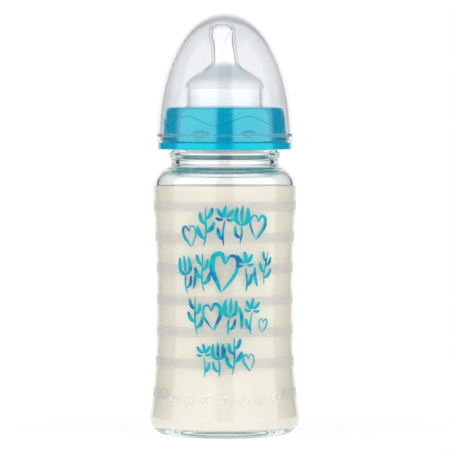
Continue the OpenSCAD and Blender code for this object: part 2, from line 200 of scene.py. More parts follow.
def new_piece(name, vertices, faces, body, material, replaced=None, sharp=35.0):
    """A smooth-shaded mesh piece in metres that rides on a body of the frame."""
    mesh = bpy.data.meshes.new(name)
    mesh.from_pydata((np.asarray(vertices) * MM).tolist(), [], faces)
    mesh.validate()
    mesh.polygons.foreach_set("use_smooth", [True] * len(mesh.polygons))
    mesh.set_sharp_from_angle(angle=math.radians(sharp))
    mesh.materials.append(material)
    piece = bpy.data.objects.new(name, mesh)
    bpy.context.scene.collection.objects.link(piece)
    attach(piece, body)
    if replaced:
        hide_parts(replaced)
    return piece


def grid_faces(rows, columns, first=0, closed_rows=True, closed_columns=True):
    """Quads of a grid of vertices, joined round in either direction."""
    faces = []
    for i in range(rows if closed_rows else rows - 1):
        a, b = first + i * columns, first + (i + 1) % rows * columns
        for j in range(columns if closed_columns else columns - 1):
            k = (j + 1) % columns
            faces.append((a + j, a + k, b + k, b + j))
    return faces


def turned(radii, heights, angles, lean=None):
    """Vertices and faces of a closed outline turned round the axis.

    radii and heights have a row for each outline point and may change with the angle.
    An outline that starts and ends on the axis closes there with a fan.
    """
    radii, heights = np.asarray(radii, float), np.asarray(heights, float)
    if radii.ndim == 1:
        radii = np.repeat(radii[:, None], len(angles), axis=1)
    if heights.ndim == 1:
        heights = np.repeat(heights[:, None], len(angles), axis=1)
    turn = np.radians(angles)
    x, y = radii * np.cos(turn), radii * np.sin(turn)
    if lean is not None:
        x = x + lean(heights)
    points = np.stack((x, y, heights), axis=-1)
    n = len(angles)
    on_axis = np.abs(radii[:, 0]) < 1e-9
    if not on_axis.any():
        return points.reshape(-1, 3), grid_faces(len(points), n)
    # the outline's first and last points are the poles
    body = points[1:-1]
    vertices = np.vstack((body.reshape(-1, 3), points[0, :1], points[-1, :1]))
    faces = grid_faces(len(body), n, closed_rows=False)
    low, high = len(vertices) - 2, len(vertices) - 1
    last = (len(body) - 1) * n
    for j in range(n):
        k = (j + 1) % n
        faces.append((low, k, j))
        faces.append((last + j, last + k, high))
    return vertices, faces


def round_angles(steps):
    """Evenly spaced angles all the way round, in degrees."""
    return np.arange(steps) * 360.0 / steps


def level(outline, columns):
    """An outline's radii and heights, the same in each of a number of columns."""
    outline = np.atleast_2d(outline)
    return np.repeat(outline[:, :1], columns, axis=1), np.repeat(outline[:, 1:], columns, axis=1)


# ---- Glass ----

FLARE = math.degrees(math.atan(2 * (HEEL_R - WAIST_R) / (WAIST_LOW - HEEL_ROUND)))
HEEL_TOP_Z = HEEL_ROUND * (1 + math.sin(math.radians(FLARE)))
HEEL_TOP_R = HEEL_R - HEEL_ROUND * (1 - math.cos(math.radians(FLARE)))


def wall_r(z):
    """Outside radius of the glass between the heel and the shoulder."""
    z = np.asarray(z, float)
    low = WAIST_R + (HEEL_TOP_R - WAIST_R) * ((WAIST_LOW - z) / (WAIST_LOW - HEEL_TOP_Z)) ** 2
    high = WAIST_R + (SHOULDER_R - WAIST_R) * smooth((z - WAIST_HIGH) / (SHOULDER_Z - WAIST_HIGH))
    return np.where(z < WAIST_LOW, low, high)


def wall_curve(low, high, inset, steps):
    """The wall between two heights, moved inwards by inset."""
    z = np.linspace(low, high, steps + 1)
    return np.column_stack((wall_r(z) - inset, z))


def thread_ridge(angle, z, start, low):
    """Height of a winding ridge, as a share of the thread's height."""
    height = np.zeros(np.broadcast(angle, z).shape)
    for turn in range(-1, 3):
        along = (angle - start) % 360 + 360 * turn
        off = np.abs(z - low - PITCH * along / 360)
        side = np.clip((RIDGE_ROOT - off) / (RIDGE_ROOT - RIDGE_CREST), 0, 1)
        end = np.clip(np.minimum(along, 360 * THREAD_TURNS - along) / RIDGE_RAMP, 0, 1)
        height = np.maximum(height, side * end)
    return height


def glass_outside():
    """Outside of the glass, from the middle of the foot's hollow to the rim."""
    punt_end = PUNT_R + PUNT_EDGE_W
    fillet_r = NECK_R + NECK_FILLET
    bead_top = BEAD_Z + BEAD_HALF
    rim_round_z = RIM_Z - RIM_ROUND
    return chain(
        line((0, PUNT_H), (PUNT_R, PUNT_H), 4),
        bezier(((PUNT_R, PUNT_H), (PUNT_R + PUNT_EASE, PUNT_H), (punt_end - PUNT_EASE, 0), (punt_end, 0)), 8),
        arc(HEEL_CENTRE, HEEL_ROUND, HEEL_ROUND, -90, FLARE, 36),
        wall_curve(HEEL_TOP_Z, SHOULDER_Z, 0, 110),
        arc((fillet_r, SHOULDER_Z), SHOULDER_R - fillet_r, SHOULDER_ROUND, 0, 90, 36),
        arc((fillet_r, BODY_H + NECK_FILLET), NECK_FILLET, NECK_FILLET, 270, 180, 10),
        bezier([(NECK_R + out, BODY_H + up) for out, up in BEAD_FOOT], 6),
        arc((NECK_R, BEAD_Z), BEAD_OUT, BEAD_HALF, -56, 90, 16),
        line((FINISH_R, bead_top + NECK_STEP), (FINISH_R, rim_round_z), 84),
        arc((FINISH_R - RIM_ROUND, rim_round_z), RIM_ROUND, RIM_ROUND, 0, 90, 8),
    )


def inner_glass(high, inset, lift):
    """Inside of the glass from the middle of the floor to a height under the shoulder.

    It is moved inwards from the wall by inset and up from the floor by lift.
    """
    r = HEEL_ROUND - GLASS_WALL - inset
    floor = GLASS_FLOOR + lift
    corner = FLOOR_CORNER
    drop = math.degrees(math.asin((HEEL_ROUND - floor - corner) / (r - corner)))
    turn = HEEL_CENTRE[0] + (r - corner) * math.cos(math.radians(drop))
    low = HEEL_ROUND + r * math.sin(math.radians(FLARE))
    return chain(
        line((0, floor), (turn, floor), 8),
        arc((turn, floor + corner), corner, corner, -90, -drop, 6),
        arc(HEEL_CENTRE, r, r, -drop, FLARE, 14),
        wall_curve(low, high, GLASS_WALL + inset, 70),
    )


def glass_inside():
    """Inside of the glass: the shoulder is as thick as the wall and turns up into the bore."""
    x, under = NECK_R + NECK_FILLET, BODY_H - GLASS_WALL
    turn = x - BORE_R
    return chain(
        inner_glass(SHOULDER_Z, 0, 0),
        arc((x, SHOULDER_Z), SHOULDER_R - GLASS_WALL - x, SHOULDER_ROUND - GLASS_WALL, 0, 90, 30),
        arc((x, under + turn), turn, turn, 270, 180, 14),
        line((BORE_R, under + turn), (BORE_R, RIM_Z - RIM_ROUND), 20),
        arc((BORE_R + RIM_ROUND, RIM_Z - RIM_ROUND), RIM_ROUND, RIM_ROUND, 180, 90, 8),
    )


def make_glass(material):
    """The glass in one piece, with the thread that winds round its neck."""
    angles = round_angles(GLASS_POINTS)
    outside, inside = glass_outside(), glass_inside()
    radii, heights = level(np.vstack((outside, inside[::-1])), GLASS_POINTS)
    z = heights[: len(outside)]
    ridge = THREAD_H * thread_ridge(np.broadcast_to(angles, z.shape), z, 0, RIDGE_Z)
    radii[: len(outside)] += np.where(z > BEAD_Z + BEAD_HALF, ridge, 0)
    vertices, faces = turned(radii, heights, angles)
    return new_piece("bottle_glass", vertices, faces, "bottle", material, "glass_bottle")


def heart_path():
    """The middle line of a heart made of a square on its corner and two half rounds."""
    half = (HEART_SIDE - HEART_LINE) / 2
    sides = chain(
        line((half, -half), (-half, -half), 8),
        line((-half, -half), (-half, half), 8),
        arc((0, half), half, half, 180, 0, 14),
        arc((half, 0), half, half, 90, -90, 14),
    )[:-1]
    s = math.sqrt(0.5)
    return np.column_stack(((sides[:, 0] - sides[:, 1]) * s, (sides[:, 0] + sides[:, 1]) * s))


def make_hearts(material):
    """A row of raised heart outlines on the front of the glass."""
    turn = np.linspace(0, 2 * np.pi, HEART_SIDES, endpoint=False)
    across, out = HEART_LINE / 2 * np.cos(turn), HEART_OUT * np.sin(turn)
    path = heart_path()
    ahead = np.roll(path, -1, axis=0) - np.roll(path, 1, axis=0)
    ahead /= np.linalg.norm(ahead, axis=1, keepdims=True)
    side = np.column_stack((-ahead[:, 1], ahead[:, 0]))
    shells = []
    for i in range(HEARTS):
        middle = math.radians(FRONT + (i - (HEARTS - 1) / 2) * HEART_STEP)
        rows = []
        for a, o in zip(across, out):
            flat = path + side * a
            z = HEART_Z + flat[:, 1]
            r = wall_r(z) + max(o, PAINT_LOW)
            turn = middle + flat[:, 0] / HEEL_R
            rows.append(np.column_stack((r * np.cos(turn), r * np.sin(turn), z)))
        shells.append((np.vstack(rows), grid_faces(len(rows), len(path))))
    vertices, faces = joined(shells)
    return new_piece("moulded_hearts", vertices, faces, "bottle", material, sharp=70)


# ---- Milk ----

MILK_WETS, MILK_LIFT = 0.02, 0.05  # how far the milk runs into the wall, and stays off the floor
MENISCUS_H, MENISCUS_W, MENISCUS_CURVE = 0.7, 1.6, 2.4


def make_milk(material):
    """The milk, which fills the glass and climbs a little way up its wall."""
    side = inner_glass(MILK_Z, -MILK_WETS, MILK_LIFT)
    share = np.linspace(0, 1, 10)
    fall = MENISCUS_H * (1 - (1 - share) ** MENISCUS_CURVE)
    surface = np.column_stack((side[-1][0] - MENISCUS_W * share, MILK_Z - fall))
    outline = chain(side, surface, [(0, MILK_Z - MENISCUS_H)])
    vertices, faces = turned(outline[:, 0], outline[:, 1], round_angles(MILK_POINTS))
    return new_piece("milk_fill", vertices, faces, "bottle", material, "milk")


# ---- Print on the glass ----

# Under and top of the grey and of the teal paint, above the glass
PAINT_LOW, PAINT_HIGH = 0.012, 0.06
TEAL_LOW, TEAL_HIGH = 0.07, 0.13


def painted_shell(centre, half, low=PAINT_LOW, high=PAINT_HIGH, across=5):
    """A thin closed film of paint along a path on the glass.

    centre has (u, z) points, u being the way round the glass from the front, and half has the
    half widths there. The film follows the glass both ways.
    """
    centre, half = np.asarray(centre, float), np.asarray(half, float)
    ahead = np.gradient(centre, axis=0)
    ahead /= np.maximum(np.linalg.norm(ahead, axis=1, keepdims=True), 1e-9)
    side = np.column_stack((-ahead[:, 1], ahead[:, 0]))
    share = np.linspace(-1, 1, across)
    rows = []
    for k, out in ((1, high), (-1, low)):
        for s in share[::k]:
            flat = centre + side * (half * s)[:, None]
            r = wall_r(flat[:, 1]) + out
            turn = np.radians(FRONT) + flat[:, 0] / WAIST_R
            rows.append(np.column_stack((r * np.cos(turn), r * np.sin(turn), flat[:, 1])))
    grid = np.stack(rows)
    n = len(centre)
    faces = grid_faces(len(rows), n, closed_columns=False)
    ring = [i * n for i in range(len(rows))]
    faces.append(tuple(ring))
    faces.append(tuple(i + n - 1 for i in reversed(ring)))
    return grid.reshape(-1, 3), faces


def joined(shells):
    """One set of vertices and faces from several."""
    vertices, faces, first = [], [], 0
    for v, f in shells:
        vertices.append(v)
        faces += [tuple(i + first for i in face) for face in f]
        first += len(v)
    return np.vstack(vertices), faces


STRIPE_FIRST_Z, STRIPE_STEP, STRIPE_HALF = 19.7, 13.95, 2.05
STRIPES = 7
STRIPE_END = 0.8  # roundness of a stripe's ends, as a share of its half height
STRIPE_TIP = 0.02  # width left at the very end of a stripe, as a share
STRIPE_END_POINTS, STRIPE_LONG_POINTS = 9, 170
LOW_GAP = (-51, 53)  # where the lowest stripe leaves off for the hearts, in degrees from the front


def low_stripe():
    """The lowest stripe, with rounded ends either side of the moulded hearts."""
    left, right = LOW_GAP
    start, end = (math.radians(turn) * WAIST_R for turn in (right, 360 + left))
    end_round = STRIPE_HALF * STRIPE_END
    ends = start + end_round * (1 - np.cos(np.linspace(0, np.pi / 2, STRIPE_END_POINTS)))
    middle = np.linspace(start + end_round, end - end_round, STRIPE_LONG_POINTS)[1:-1]
    u = np.concatenate((ends, middle, start + end - ends[::-1]))
    inward = np.clip(np.minimum(u - start, end - u) / end_round, 0, 1)
    half = STRIPE_HALF * np.maximum(np.sqrt(1 - (1 - inward) ** 2), STRIPE_TIP)
    return painted_shell(np.column_stack((u, np.full_like(u, STRIPE_FIRST_Z))), half)


def whole_stripe(index):
    """A stripe that runs all the way round."""
    z = STRIPE_FIRST_Z + STRIPE_STEP * index + STRIPE_HALF * np.linspace(-1, 1, 5)
    outline = np.vstack((
        np.column_stack((wall_r(z) + PAINT_HIGH, z)),
        np.column_stack((wall_r(z) + PAINT_LOW, z))[::-1],
    ))
    return turned(outline[:, 0], outline[:, 1], round_angles(STRIPE_POINTS))


def make_stripes(material):
    """All the grey stripes in one piece."""
    vertices, faces = joined([low_stripe()] + [whole_stripe(i) for i in range(1, STRIPES)])
    return new_piece("printed_stripes", vertices, faces, "bottle", material, sharp=60)


# Width of a stroke at its start and end, how fast it fills out, and the width of its very tip, as shares
BRUSH_START, BRUSH_END, BRUSH_FULL, BRUSH_TIP = 0.25, 0.1, 0.55, 0.3
BRUSH_STEPS = 28


def brush(points, width):
    """A brush stroke through points: thin at its ends and full in between."""
    points = np.asarray(points, float)
    padded = np.vstack((2 * points[0] - points[1], points, 2 * points[-1] - points[-2]))
    path = []
    for i in range(len(points) - 1):
        p0, p1, p2, p3 = padded[i : i + 4]
        squared, cubed = 2 * p0 - 5 * p1 + 4 * p2 - p3, 3 * p1 - p0 - 3 * p2 + p3
        for t in np.linspace(0, 1, BRUSH_STEPS // (len(points) - 1) + 2)[:-1]:
            path.append(0.5 * (2 * p1 + (p2 - p0) * t + squared * t * t + cubed * t**3))
    path.append(points[-1])
    path = np.array(path)
    s = np.concatenate(([0], np.cumsum(np.linalg.norm(np.diff(path, axis=0), axis=1))))
    s /= s[-1]
    body = np.sin(np.pi * s) ** BRUSH_FULL
    taper = BRUSH_START + (BRUSH_END - BRUSH_START) * s
    half = width / 2 * (taper + (1 - taper) * body)
    half[[0, -1]] *= BRUSH_TIP
    return path, half


def placed(points, place, size, turn, flip):
    """A stroke's points at a figure's place on the glass."""
    c, s = math.cos(math.radians(turn)), math.sin(math.radians(turn))
    p = np.asarray(points, float) * size
    if flip:
        p[:, 0] *= -1
    return np.column_stack((p[:, 0] * c - p[:, 1] * s + place[0], p[:, 0] * s + p[:, 1] * c + place[1]))


# Strokes of each figure, in a box one unit high: points and width
HEART_STROKES = (
    (((0.0, 0.2), (-0.12, 0.44), (-0.29, 0.36), (-0.3, 0.05), (-0.14, -0.25), (0.0, -0.5)), 0.14),
    (((0.0, 0.18), (0.1, 0.42), (0.27, 0.38), (0.31, 0.08), (0.16, -0.24), (0.01, -0.48)), 0.09),
)
LEAF_STROKES = (
    (((0.0, -0.5), (0.03, -0.2), (0.0, 0.1), (-0.04, 0.5)), 0.055),
    (((0.01, -0.32), (-0.13, -0.2), (-0.21, 0.0)), 0.11),
    (((0.02, -0.16), (0.14, -0.05), (0.21, 0.15)), 0.11),
    (((0.0, 0.04), (-0.12, 0.15), (-0.17, 0.34)), 0.1),
    (((-0.01, 0.18), (0.09, 0.29), (0.13, 0.48)), 0.1),
)
TULIP_STROKES = (
    (((0.0, -0.5), (-0.03, -0.25), (0.0, 0.02)), 0.06),
    (((0.0, -0.02), (-0.15, 0.12), (-0.14, 0.46)), 0.13),
    (((0.0, -0.02), (0.15, 0.12), (0.14, 0.46)), 0.11),
    (((0.0, 0.04), (0.01, 0.24), (0.0, 0.5)), 0.09),
    (((0.0, -0.36), (0.12, -0.26), (0.16, -0.04)), 0.09),
)
FLOWER_STROKES = (
    (((0.02, -0.5), (-0.02, -0.22), (0.0, 0.12)), 0.055),
    (((0.01, -0.36), (-0.1, -0.26), (-0.16, -0.06)), 0.1),
    (((0.0, 0.2), (-0.02, 0.36), (0.01, 0.5)), 0.1),
    (((-0.03, 0.2), (-0.13, 0.3), (-0.2, 0.42)), 0.1),
    (((0.03, 0.2), (0.13, 0.3), (0.2, 0.42)), 0.1),
    (((-0.04, 0.15), (-0.14, 0.14), (-0.22, 0.18)), 0.08),
    (((0.04, 0.15), (0.14, 0.14), (0.22, 0.18)), 0.08),
)
DAB_STROKES = ((((0.0, 0.5), (0.06, 0.14), (0.04, -0.24), (0.0, -0.5)), 0.18),)
# How much higher each stroke of a figure is than the last, and every second figure than its neighbour
STROKE_RISE, FIGURE_RISE = 0.006, 0.002
# figure, place (round, up), size, turn, flip
MOTIF = (
    (HEART_STROKES, (-15.8, 90.4), 10.0, 8, False),
    (LEAF_STROKES, (-8.4, 94.8), 18.0, -6, False),
    (FLOWER_STROKES, (-0.2, 95.2), 18.0, -4, False),
    (TULIP_STROKES, (7.2, 95.6), 17.0, -4, True),
    (HEART_STROKES, (14.6, 94.4), 11.5, -6, True),
    (TULIP_STROKES, (-18.4, 73.4), 17.0, 6, False),
    (DAB_STROKES, (-14.0, 71.4), 9.0, -6, False),
    (LEAF_STROKES, (-10.0, 74.4), 17.0, 4, True),
    (HEART_STROKES, (-0.4, 74.4), 18.0, -8, False),
    (FLOWER_STROKES, (9.4, 74.8), 18.0, 4, True),
    (DAB_STROKES, (14.4, 72.4), 9.0, 8, True),
    (LEAF_STROKES, (19.2, 76.4), 15.0, -6, True),
    (LEAF_STROKES, (-13.4, 54.8), 17.0, 6, True),
    (HEART_STROKES, (-5.6, 54.6), 12.5, 6, True),
    (TULIP_STROKES, (2.2, 54.8), 16.5, -4, False),
    (DAB_STROKES, (7.0, 54.0), 10.0, 6, False),
    (FLOWER_STROKES, (12.2, 54.8), 16.5, -6, False),
    (HEART_STROKES, (17.8, 50.6), 6.5, -8, True),
    (FLOWER_STROKES, (-9.2, 35.4), 15.0, 4, True),
    (TULIP_STROKES, (-2.8, 35.8), 15.5, 2, True),
    (LEAF_STROKES, (4.0, 37.2), 17.0, -6, False),
    (HEART_STROKES, (10.8, 34.4), 8.0, 6, False),
)


def make_motif(material):
    """The brush figures, in rows down the front of the glass."""
    shells = []
    for i, (strokes, place, size, turn, flip) in enumerate(MOTIF):
        for j, (points, width) in enumerate(strokes):
            path, half = brush(placed(points, place, size, turn, flip), width * size)
            high = TEAL_HIGH + STROKE_RISE * j + FIGURE_RISE * (i % 2)
            shells.append(painted_shell(path, half, TEAL_LOW, high))
    vertices, faces = joined(shells)
    return new_piece("printed_motif", vertices, faces, "bottle", material, sharp=60)


# ---- Teat ----


def lean(z):
    """How far to one side the nipple's centre is at a height."""
    return -NIPPLE_LEAN * smooth((z - STEM_Z) / BULB_UP)


def nipple(inset, steps=14):
    """The nipple from the top of the dome to the hole in its tip, moved inwards by inset."""
    flat = max(TIP_FLAT_R - inset / 2, FEED_HOLE_R)
    waist, bulb = STEM_Z + STEM_UP, STEM_Z + BULB_UP
    s = np.linspace(0, 1, steps + 1)
    stem_r = NIPPLE_FOOT_R + (STEM_R - NIPPLE_FOOT_R) * smooth(s)
    bulb_r = STEM_R + (BULB_R - STEM_R) * smooth(s)
    low = np.column_stack((stem_r - inset, STEM_Z + STEM_UP * s))
    high = np.column_stack((bulb_r - inset, waist + (bulb - waist) * s))
    tip = arc((flat, bulb), BULB_R - inset - flat, TIP_Z - inset - bulb, 0, 90, steps)
    return chain(low, high, tip, [(FEED_HOLE_R, TIP_Z - inset)])


def dome(inset):
    """The dome between the edge over the ring and the foot of the nipple, moved inwards by inset."""
    low, high = (DOME_R - inset, DOME_EDGE), (NIPPLE_FOOT_R - inset, STEM_Z)
    pull = (0, DOME_PULL * DOME_H)
    return bezier((low, np.add(low, pull), np.subtract(high, pull), high), 36)


def make_teat(material):
    """The teat, with two winding ribs inside the nipple that keep it open."""
    top, corner = TEAT_LOW + TEAT_FLANGE_T, TEAT_ROUND
    inner_r, flange_r = TEAT_WALL_R - TEAT_T, TEAT_FLANGE_R - TEAT_ROUND
    outside = chain(
        [(inner_r, TEAT_LOW)],
        [(flange_r, TEAT_LOW)],
        arc((flange_r, TEAT_LOW + corner), corner, corner, -90, 0, 4),
        arc((flange_r, top - corner), corner, corner, 0, 90, 4),
        [(TEAT_WALL_R, top)],
        line((TEAT_WALL_R, top + FIRST_ROW), (TEAT_WALL_R, DOME_EDGE - corner), 10),
        arc((DOME_R - corner, DOME_EDGE), corner, corner, -90, 0, 4)[1:],
        dome(0)[2:],
        nipple(0),
    )
    inside = chain(
        line((inner_r, TEAT_LOW + FIRST_ROW / 2), (inner_r, DOME_EDGE), 10),
        dome(TEAT_T),
        nipple(TEAT_T),
    )
    angles = round_angles(TEAT_POINTS)
    radii, heights = level(np.vstack((outside, inside[::-1])), TEAT_POINTS)
    inner = radii[len(outside):]
    z = heights[len(outside):]
    share = (z - STEM_Z) / (RIB_TOP_Z - STEM_Z)
    swell = smooth(share * RIB_EASE) * smooth((1 - share) * RIB_EASE)
    for start in RIB_STARTS:
        away = (angles - start - RIB_TURN * (1 - share) + 180) % 360 - 180
        rib = RIB_H * np.exp(-((away / RIB_WIDTH) ** 2)) * swell
        inner -= np.where((z > STEM_Z) & (inner > RIB_MIN_R), rib, 0)
    vertices, faces = turned(radii, heights, angles, lean)
    return new_piece("teat_silicone", vertices, faces, "teat", material, "teat")


def make_vent(material):
    """Nub of the vent that hangs under the teat's flange."""
    low, high = TEAT_LOW - VENT_H, TEAT_LOW - VENT_GAP
    outline = chain(
        [(VENT_HOLE_R, low)],
        arc((VENT_R - TEAT_ROUND, low + TEAT_ROUND), TEAT_ROUND, TEAT_ROUND, -90, 0, 4),
        [(VENT_R, high), (VENT_HOLE_R, high)],
    )
    vertices, faces = turned(outline[:, 0], outline[:, 1], round_angles(VENT_POINTS))
    vertices = vertices + np.array((0, BORE_R - VENT_R - VENT_IN, 0))
    return new_piece("teat_vent", vertices, faces, "teat", material)


# ---- Screw ring ----


def ring_wall(z):
    """Outside radius of the ring above its wave line."""
    return RING_R - (RING_R - RING_TOP_R) * (z - FLANGE_TOP) / (RING_TOP - FLANGE_TOP)


def lug_bump(angle, z):
    """Height of the lugs and of the dip round each, as a share of a lug's full height."""
    step = 360 / LUGS
    off = (angle - FRONT) % step - step / 2
    away = np.hypot(RING_R * np.radians(off) / LUG_HALF_W, (z - LUG_Z) / LUG_HALF_H)
    rise = smooth((1 - away) / LUG_SLOPE)
    return rise - MOAT * np.exp(-(((away - MOAT_AT) / MOAT_W) ** 2))


def ring_flange():
    """The flange at the ring's foot, from the inside out and up to the band."""
    return chain(
        arc((RING_IN_R + EDGE, RING_LOW + EDGE), EDGE, EDGE, 180, 270, 4),
        line((RING_IN_R + EDGE, RING_LOW), (FLANGE_R - EDGE, RING_LOW), 4),
        arc((FLANGE_R - EDGE, RING_LOW + EDGE), EDGE, EDGE, -90, 0, 5),
        arc((FLANGE_R - EDGE, FLANGE_TOP - EDGE), EDGE, EDGE, 0, 90, 5),
        [(RING_R + WAVE_STEP + BAND_FILLET, FLANGE_TOP)],
    )


def ring_band(angles, wave):
    """The glossy band up to the wave line, with the lugs on it and the line's edge at its top."""
    first, last = LUG_SPAN
    rise = np.concatenate((
        np.linspace(0.0, first - FIRST_ROW, 6)[1:],
        np.linspace(first, last, 27),
        np.linspace(last + 2 * FIRST_ROW, BAND_H, 5),
    ))
    z = FLANGE_TOP + np.repeat(rise[:, None], len(angles), axis=1)
    r = ring_wall(z) + WAVE_STEP
    r += (LUG_R - r) * lug_bump(angles, z)
    r += BAND_FILLET * smooth(1 - rise[:, None] / BAND_FILLET_H)
    blocks = [(r, z)]
    for share in (0.35, 0.7, 0.9):
        z = (FLANGE_TOP + BAND_H) * (1 - share) + (wave - WAVE_NEAR) * share
        blocks.append((ring_wall(z)[None] + WAVE_STEP, z[None]))
    for drop, out in WAVE_EDGE:
        z = wave - drop
        blocks.append((ring_wall(z)[None] + WAVE_STEP * out, z[None]))
    return blocks


def ring_plate(top):
    """The plate that holds the teat down, from the top of the wall to the corner inside."""
    return chain(
        arc((RING_TOP_R - PLATE_ROUND, top), PLATE_ROUND, PLATE_ROUND, 8, 90, 12),
        bezier([(r, RING_TOP - depth) for r, depth in PLATE_CURVE], 10)[1:],
        arc((RING_HOLE_R + EDGE, RING_TOP - EDGE), EDGE, EDGE, 90, 180, 5),
        [(RING_HOLE_R, PLATE_LOW), (RING_IN_R - EDGE, PLATE_LOW), (RING_IN_R, PLATE_LOW - EDGE)],
    )


def ring_thread(angles):
    """The inside wall with its winding ridge, which clears the ridge of the glass."""
    z = np.linspace(PLATE_LOW - 2 * EDGE, RING_LOW + EDGE + FIRST_ROW, 84)
    z = np.repeat(z[:, None], len(angles), axis=1)
    slope = (RIDGE_ROOT - RIDGE_CREST) / THREAD_H
    apart = 2 * RIDGE_ROOT - slope * (THREAD_H + CREST_GAP) + FLANK_GAP
    low = RIDGE_Z - apart - PITCH * RING_LEAD / 360
    return RING_IN_R - THREAD_H * thread_ridge(angles, z, -RING_LEAD, low), z


def make_ring(material):
    """The screw ring, whose glossy band ends at a wave line."""
    angles = round_angles(RING_POINTS)
    wave = WAVE_MID - WAVE_RISE * np.cos(np.radians(WAVES * (angles - FRONT + WAVE_TURN)))
    top = RING_TOP - PLATE_CROWN - PLATE_ROUND
    blocks = [level(ring_flange(), RING_POINTS)] + ring_band(angles, wave)
    for share in (0.25, 0.6, 1.0):
        z = wave * (1 - share) + top * share
        blocks.append((ring_wall(z)[None], z[None]))
    blocks += [level(ring_plate(top), RING_POINTS), ring_thread(angles)]
    radii, heights = (np.vstack([block[i] for block in blocks]) for i in (0, 1))
    vertices, faces = turned(radii, heights, angles)
    return new_piece("ring_teal", vertices, faces, "ring", material, "screw_ring", sharp=40)


# ---- Cap ----


def cap_dome(radius, top, steps=90):
    """One side of the cap's dome, from its rim's height to the middle of its top."""
    t = np.radians(np.linspace(0, 90, steps + 1))
    r = radius * np.maximum(np.cos(t), 0) ** (2 / DOME_POWER)
    r[-1] = 0.0
    return np.column_stack((r, CAP_LOW + (top - CAP_LOW) * np.sin(t) ** (2 / DOME_POWER)))


def make_cap(material):
    """The dome cap, with the bead inside its rim that goes over the lugs."""
    bead_top = CAP_LOW + SNAP_H
    outer, inner = cap_dome(CAP_R, CAP_TOP), cap_dome(CAP_IN_R, CAP_TOP - CAP_TOP_T)
    outer = outer[outer[:, 1] > CAP_LOW + EDGE + FIRST_ROW]
    inner = inner[inner[:, 1] > bead_top + CAP_IN_R - SNAP_R + SNAP_OVER]
    outline = chain(
        inner[::-1],
        bezier([(SNAP_R + out, bead_top + up) for out, up in SNAP_CURVE], 8),
        line((SNAP_R, bead_top - SNAP_UNDER), (SNAP_R, CAP_LOW + EDGE), 3),
        arc((SNAP_R + EDGE, CAP_LOW + EDGE), EDGE, EDGE, 180, 270, 5),
        arc((CAP_R - EDGE, CAP_LOW + EDGE), EDGE, EDGE, -90, 0, 5),
        outer,
    )
    vertices, faces = turned(outline[:, 0], outline[:, 1], round_angles(CAP_POINTS))
    return new_piece("cap_clear", vertices, faces, "cap", material, "dome_cap")


# ---- Materials ----


class Recipe:
    """A material's node tree with short ways to add and join nodes."""

    def __init__(self, name):
        self.material = bpy.data.materials.new(name)
        self.material.use_nodes = True
        self.tree = self.material.node_tree
        self.tree.nodes.clear()
        self.out = self.add("ShaderNodeOutputMaterial")

    def add(self, kind, **settings):
        node = self.tree.nodes.new(kind)
        for key, value in settings.items():
            setattr(node, key, value)
        return node

    def join(self, a, b):
        self.tree.links.new(a, b)

    def shader(self, **values):
        """The material's own shader, with its values by name."""
        node = self.add("ShaderNodeBsdfPrincipled")
        for key, value in values.items():
            node.inputs[key.replace("_", " ")].default_value = value
        self.join(node.outputs["BSDF"], self.out.inputs["Surface"])
        self.principled = node
        return node

    def place(self):
        """Where a point is on the piece, which moves with the piece."""
        return self.add("ShaderNodeTexCoord").outputs["Object"]

    def group(self, tree, **values):
        """A shared group of nodes with this material's own values."""
        node = self.add("ShaderNodeGroup")
        node.node_tree = tree
        for key, value in values.items():
            node.inputs[key.replace("_", " ")].default_value = value
        self.join(self.place(), node.inputs["Place"])
        return node


def fine_surface_group():
    """Soft ripple of a moulded or blown surface: a height and a roughness that vary over it."""
    tree = bpy.data.node_groups.new("fine_surface", "ShaderNodeTree")
    for name, kind, value in (
        ("Place", "NodeSocketVector", None),
        ("Scale", "NodeSocketFloat", 60.0),
        ("Stretch", "NodeSocketFloat", 0.3),
        ("Low", "NodeSocketFloat", 0.05),
        ("High", "NodeSocketFloat", 0.12),
    ):
        socket = tree.interface.new_socket(name, in_out="INPUT", socket_type=kind)
        if value is not None:
            socket.default_value = value
    tree.interface.new_socket("Height", in_out="OUTPUT", socket_type="NodeSocketFloat")
    tree.interface.new_socket("Roughness", in_out="OUTPUT", socket_type="NodeSocketFloat")
    nodes, links = tree.nodes, tree.links
    inside, outside = nodes.new("NodeGroupInput"), nodes.new("NodeGroupOutput")
    squeeze = nodes.new("ShaderNodeCombineXYZ")
    squeeze.inputs[0].default_value = squeeze.inputs[1].default_value = 1.0
    links.new(inside.outputs["Stretch"], squeeze.inputs[2])
    scaled = nodes.new("ShaderNodeVectorMath")
    scaled.operation = "MULTIPLY"
    links.new(inside.outputs["Place"], scaled.inputs[0])
    links.new(squeeze.outputs[0], scaled.inputs[1])
    noise = nodes.new("ShaderNodeTexNoise")
    noise.inputs["Detail"].default_value = 2.0
    links.new(scaled.outputs[0], noise.inputs["Vector"])
    links.new(inside.outputs["Scale"], noise.inputs["Scale"])
    links.new(noise.outputs["Fac"], outside.inputs["Height"])
    spread = nodes.new("ShaderNodeMapRange")
    spread.inputs["From Min"].default_value = 0.3
    spread.inputs["From Max"].default_value = 0.7
    links.new(noise.outputs["Fac"], spread.inputs["Value"])
    links.new(inside.outputs["Low"], spread.inputs["To Min"])
    links.new(inside.outputs["High"], spread.inputs["To Max"])
    links.new(spread.outputs[0], outside.inputs["Roughness"])
    return tree


def rippled(recipe, shader, surface, strength, distance):
    """The group's height as a bump on the shader, and its roughness."""
    bump = recipe.add("ShaderNodeBump")
    bump.inputs["Strength"].default_value = strength
    bump.inputs["Distance"].default_value = distance
    recipe.join(surface.outputs["Height"], bump.inputs["Height"])
    recipe.join(bump.outputs[0], shader.inputs["Normal"])
    recipe.join(surface.outputs["Roughness"], shader.inputs["Roughness"])


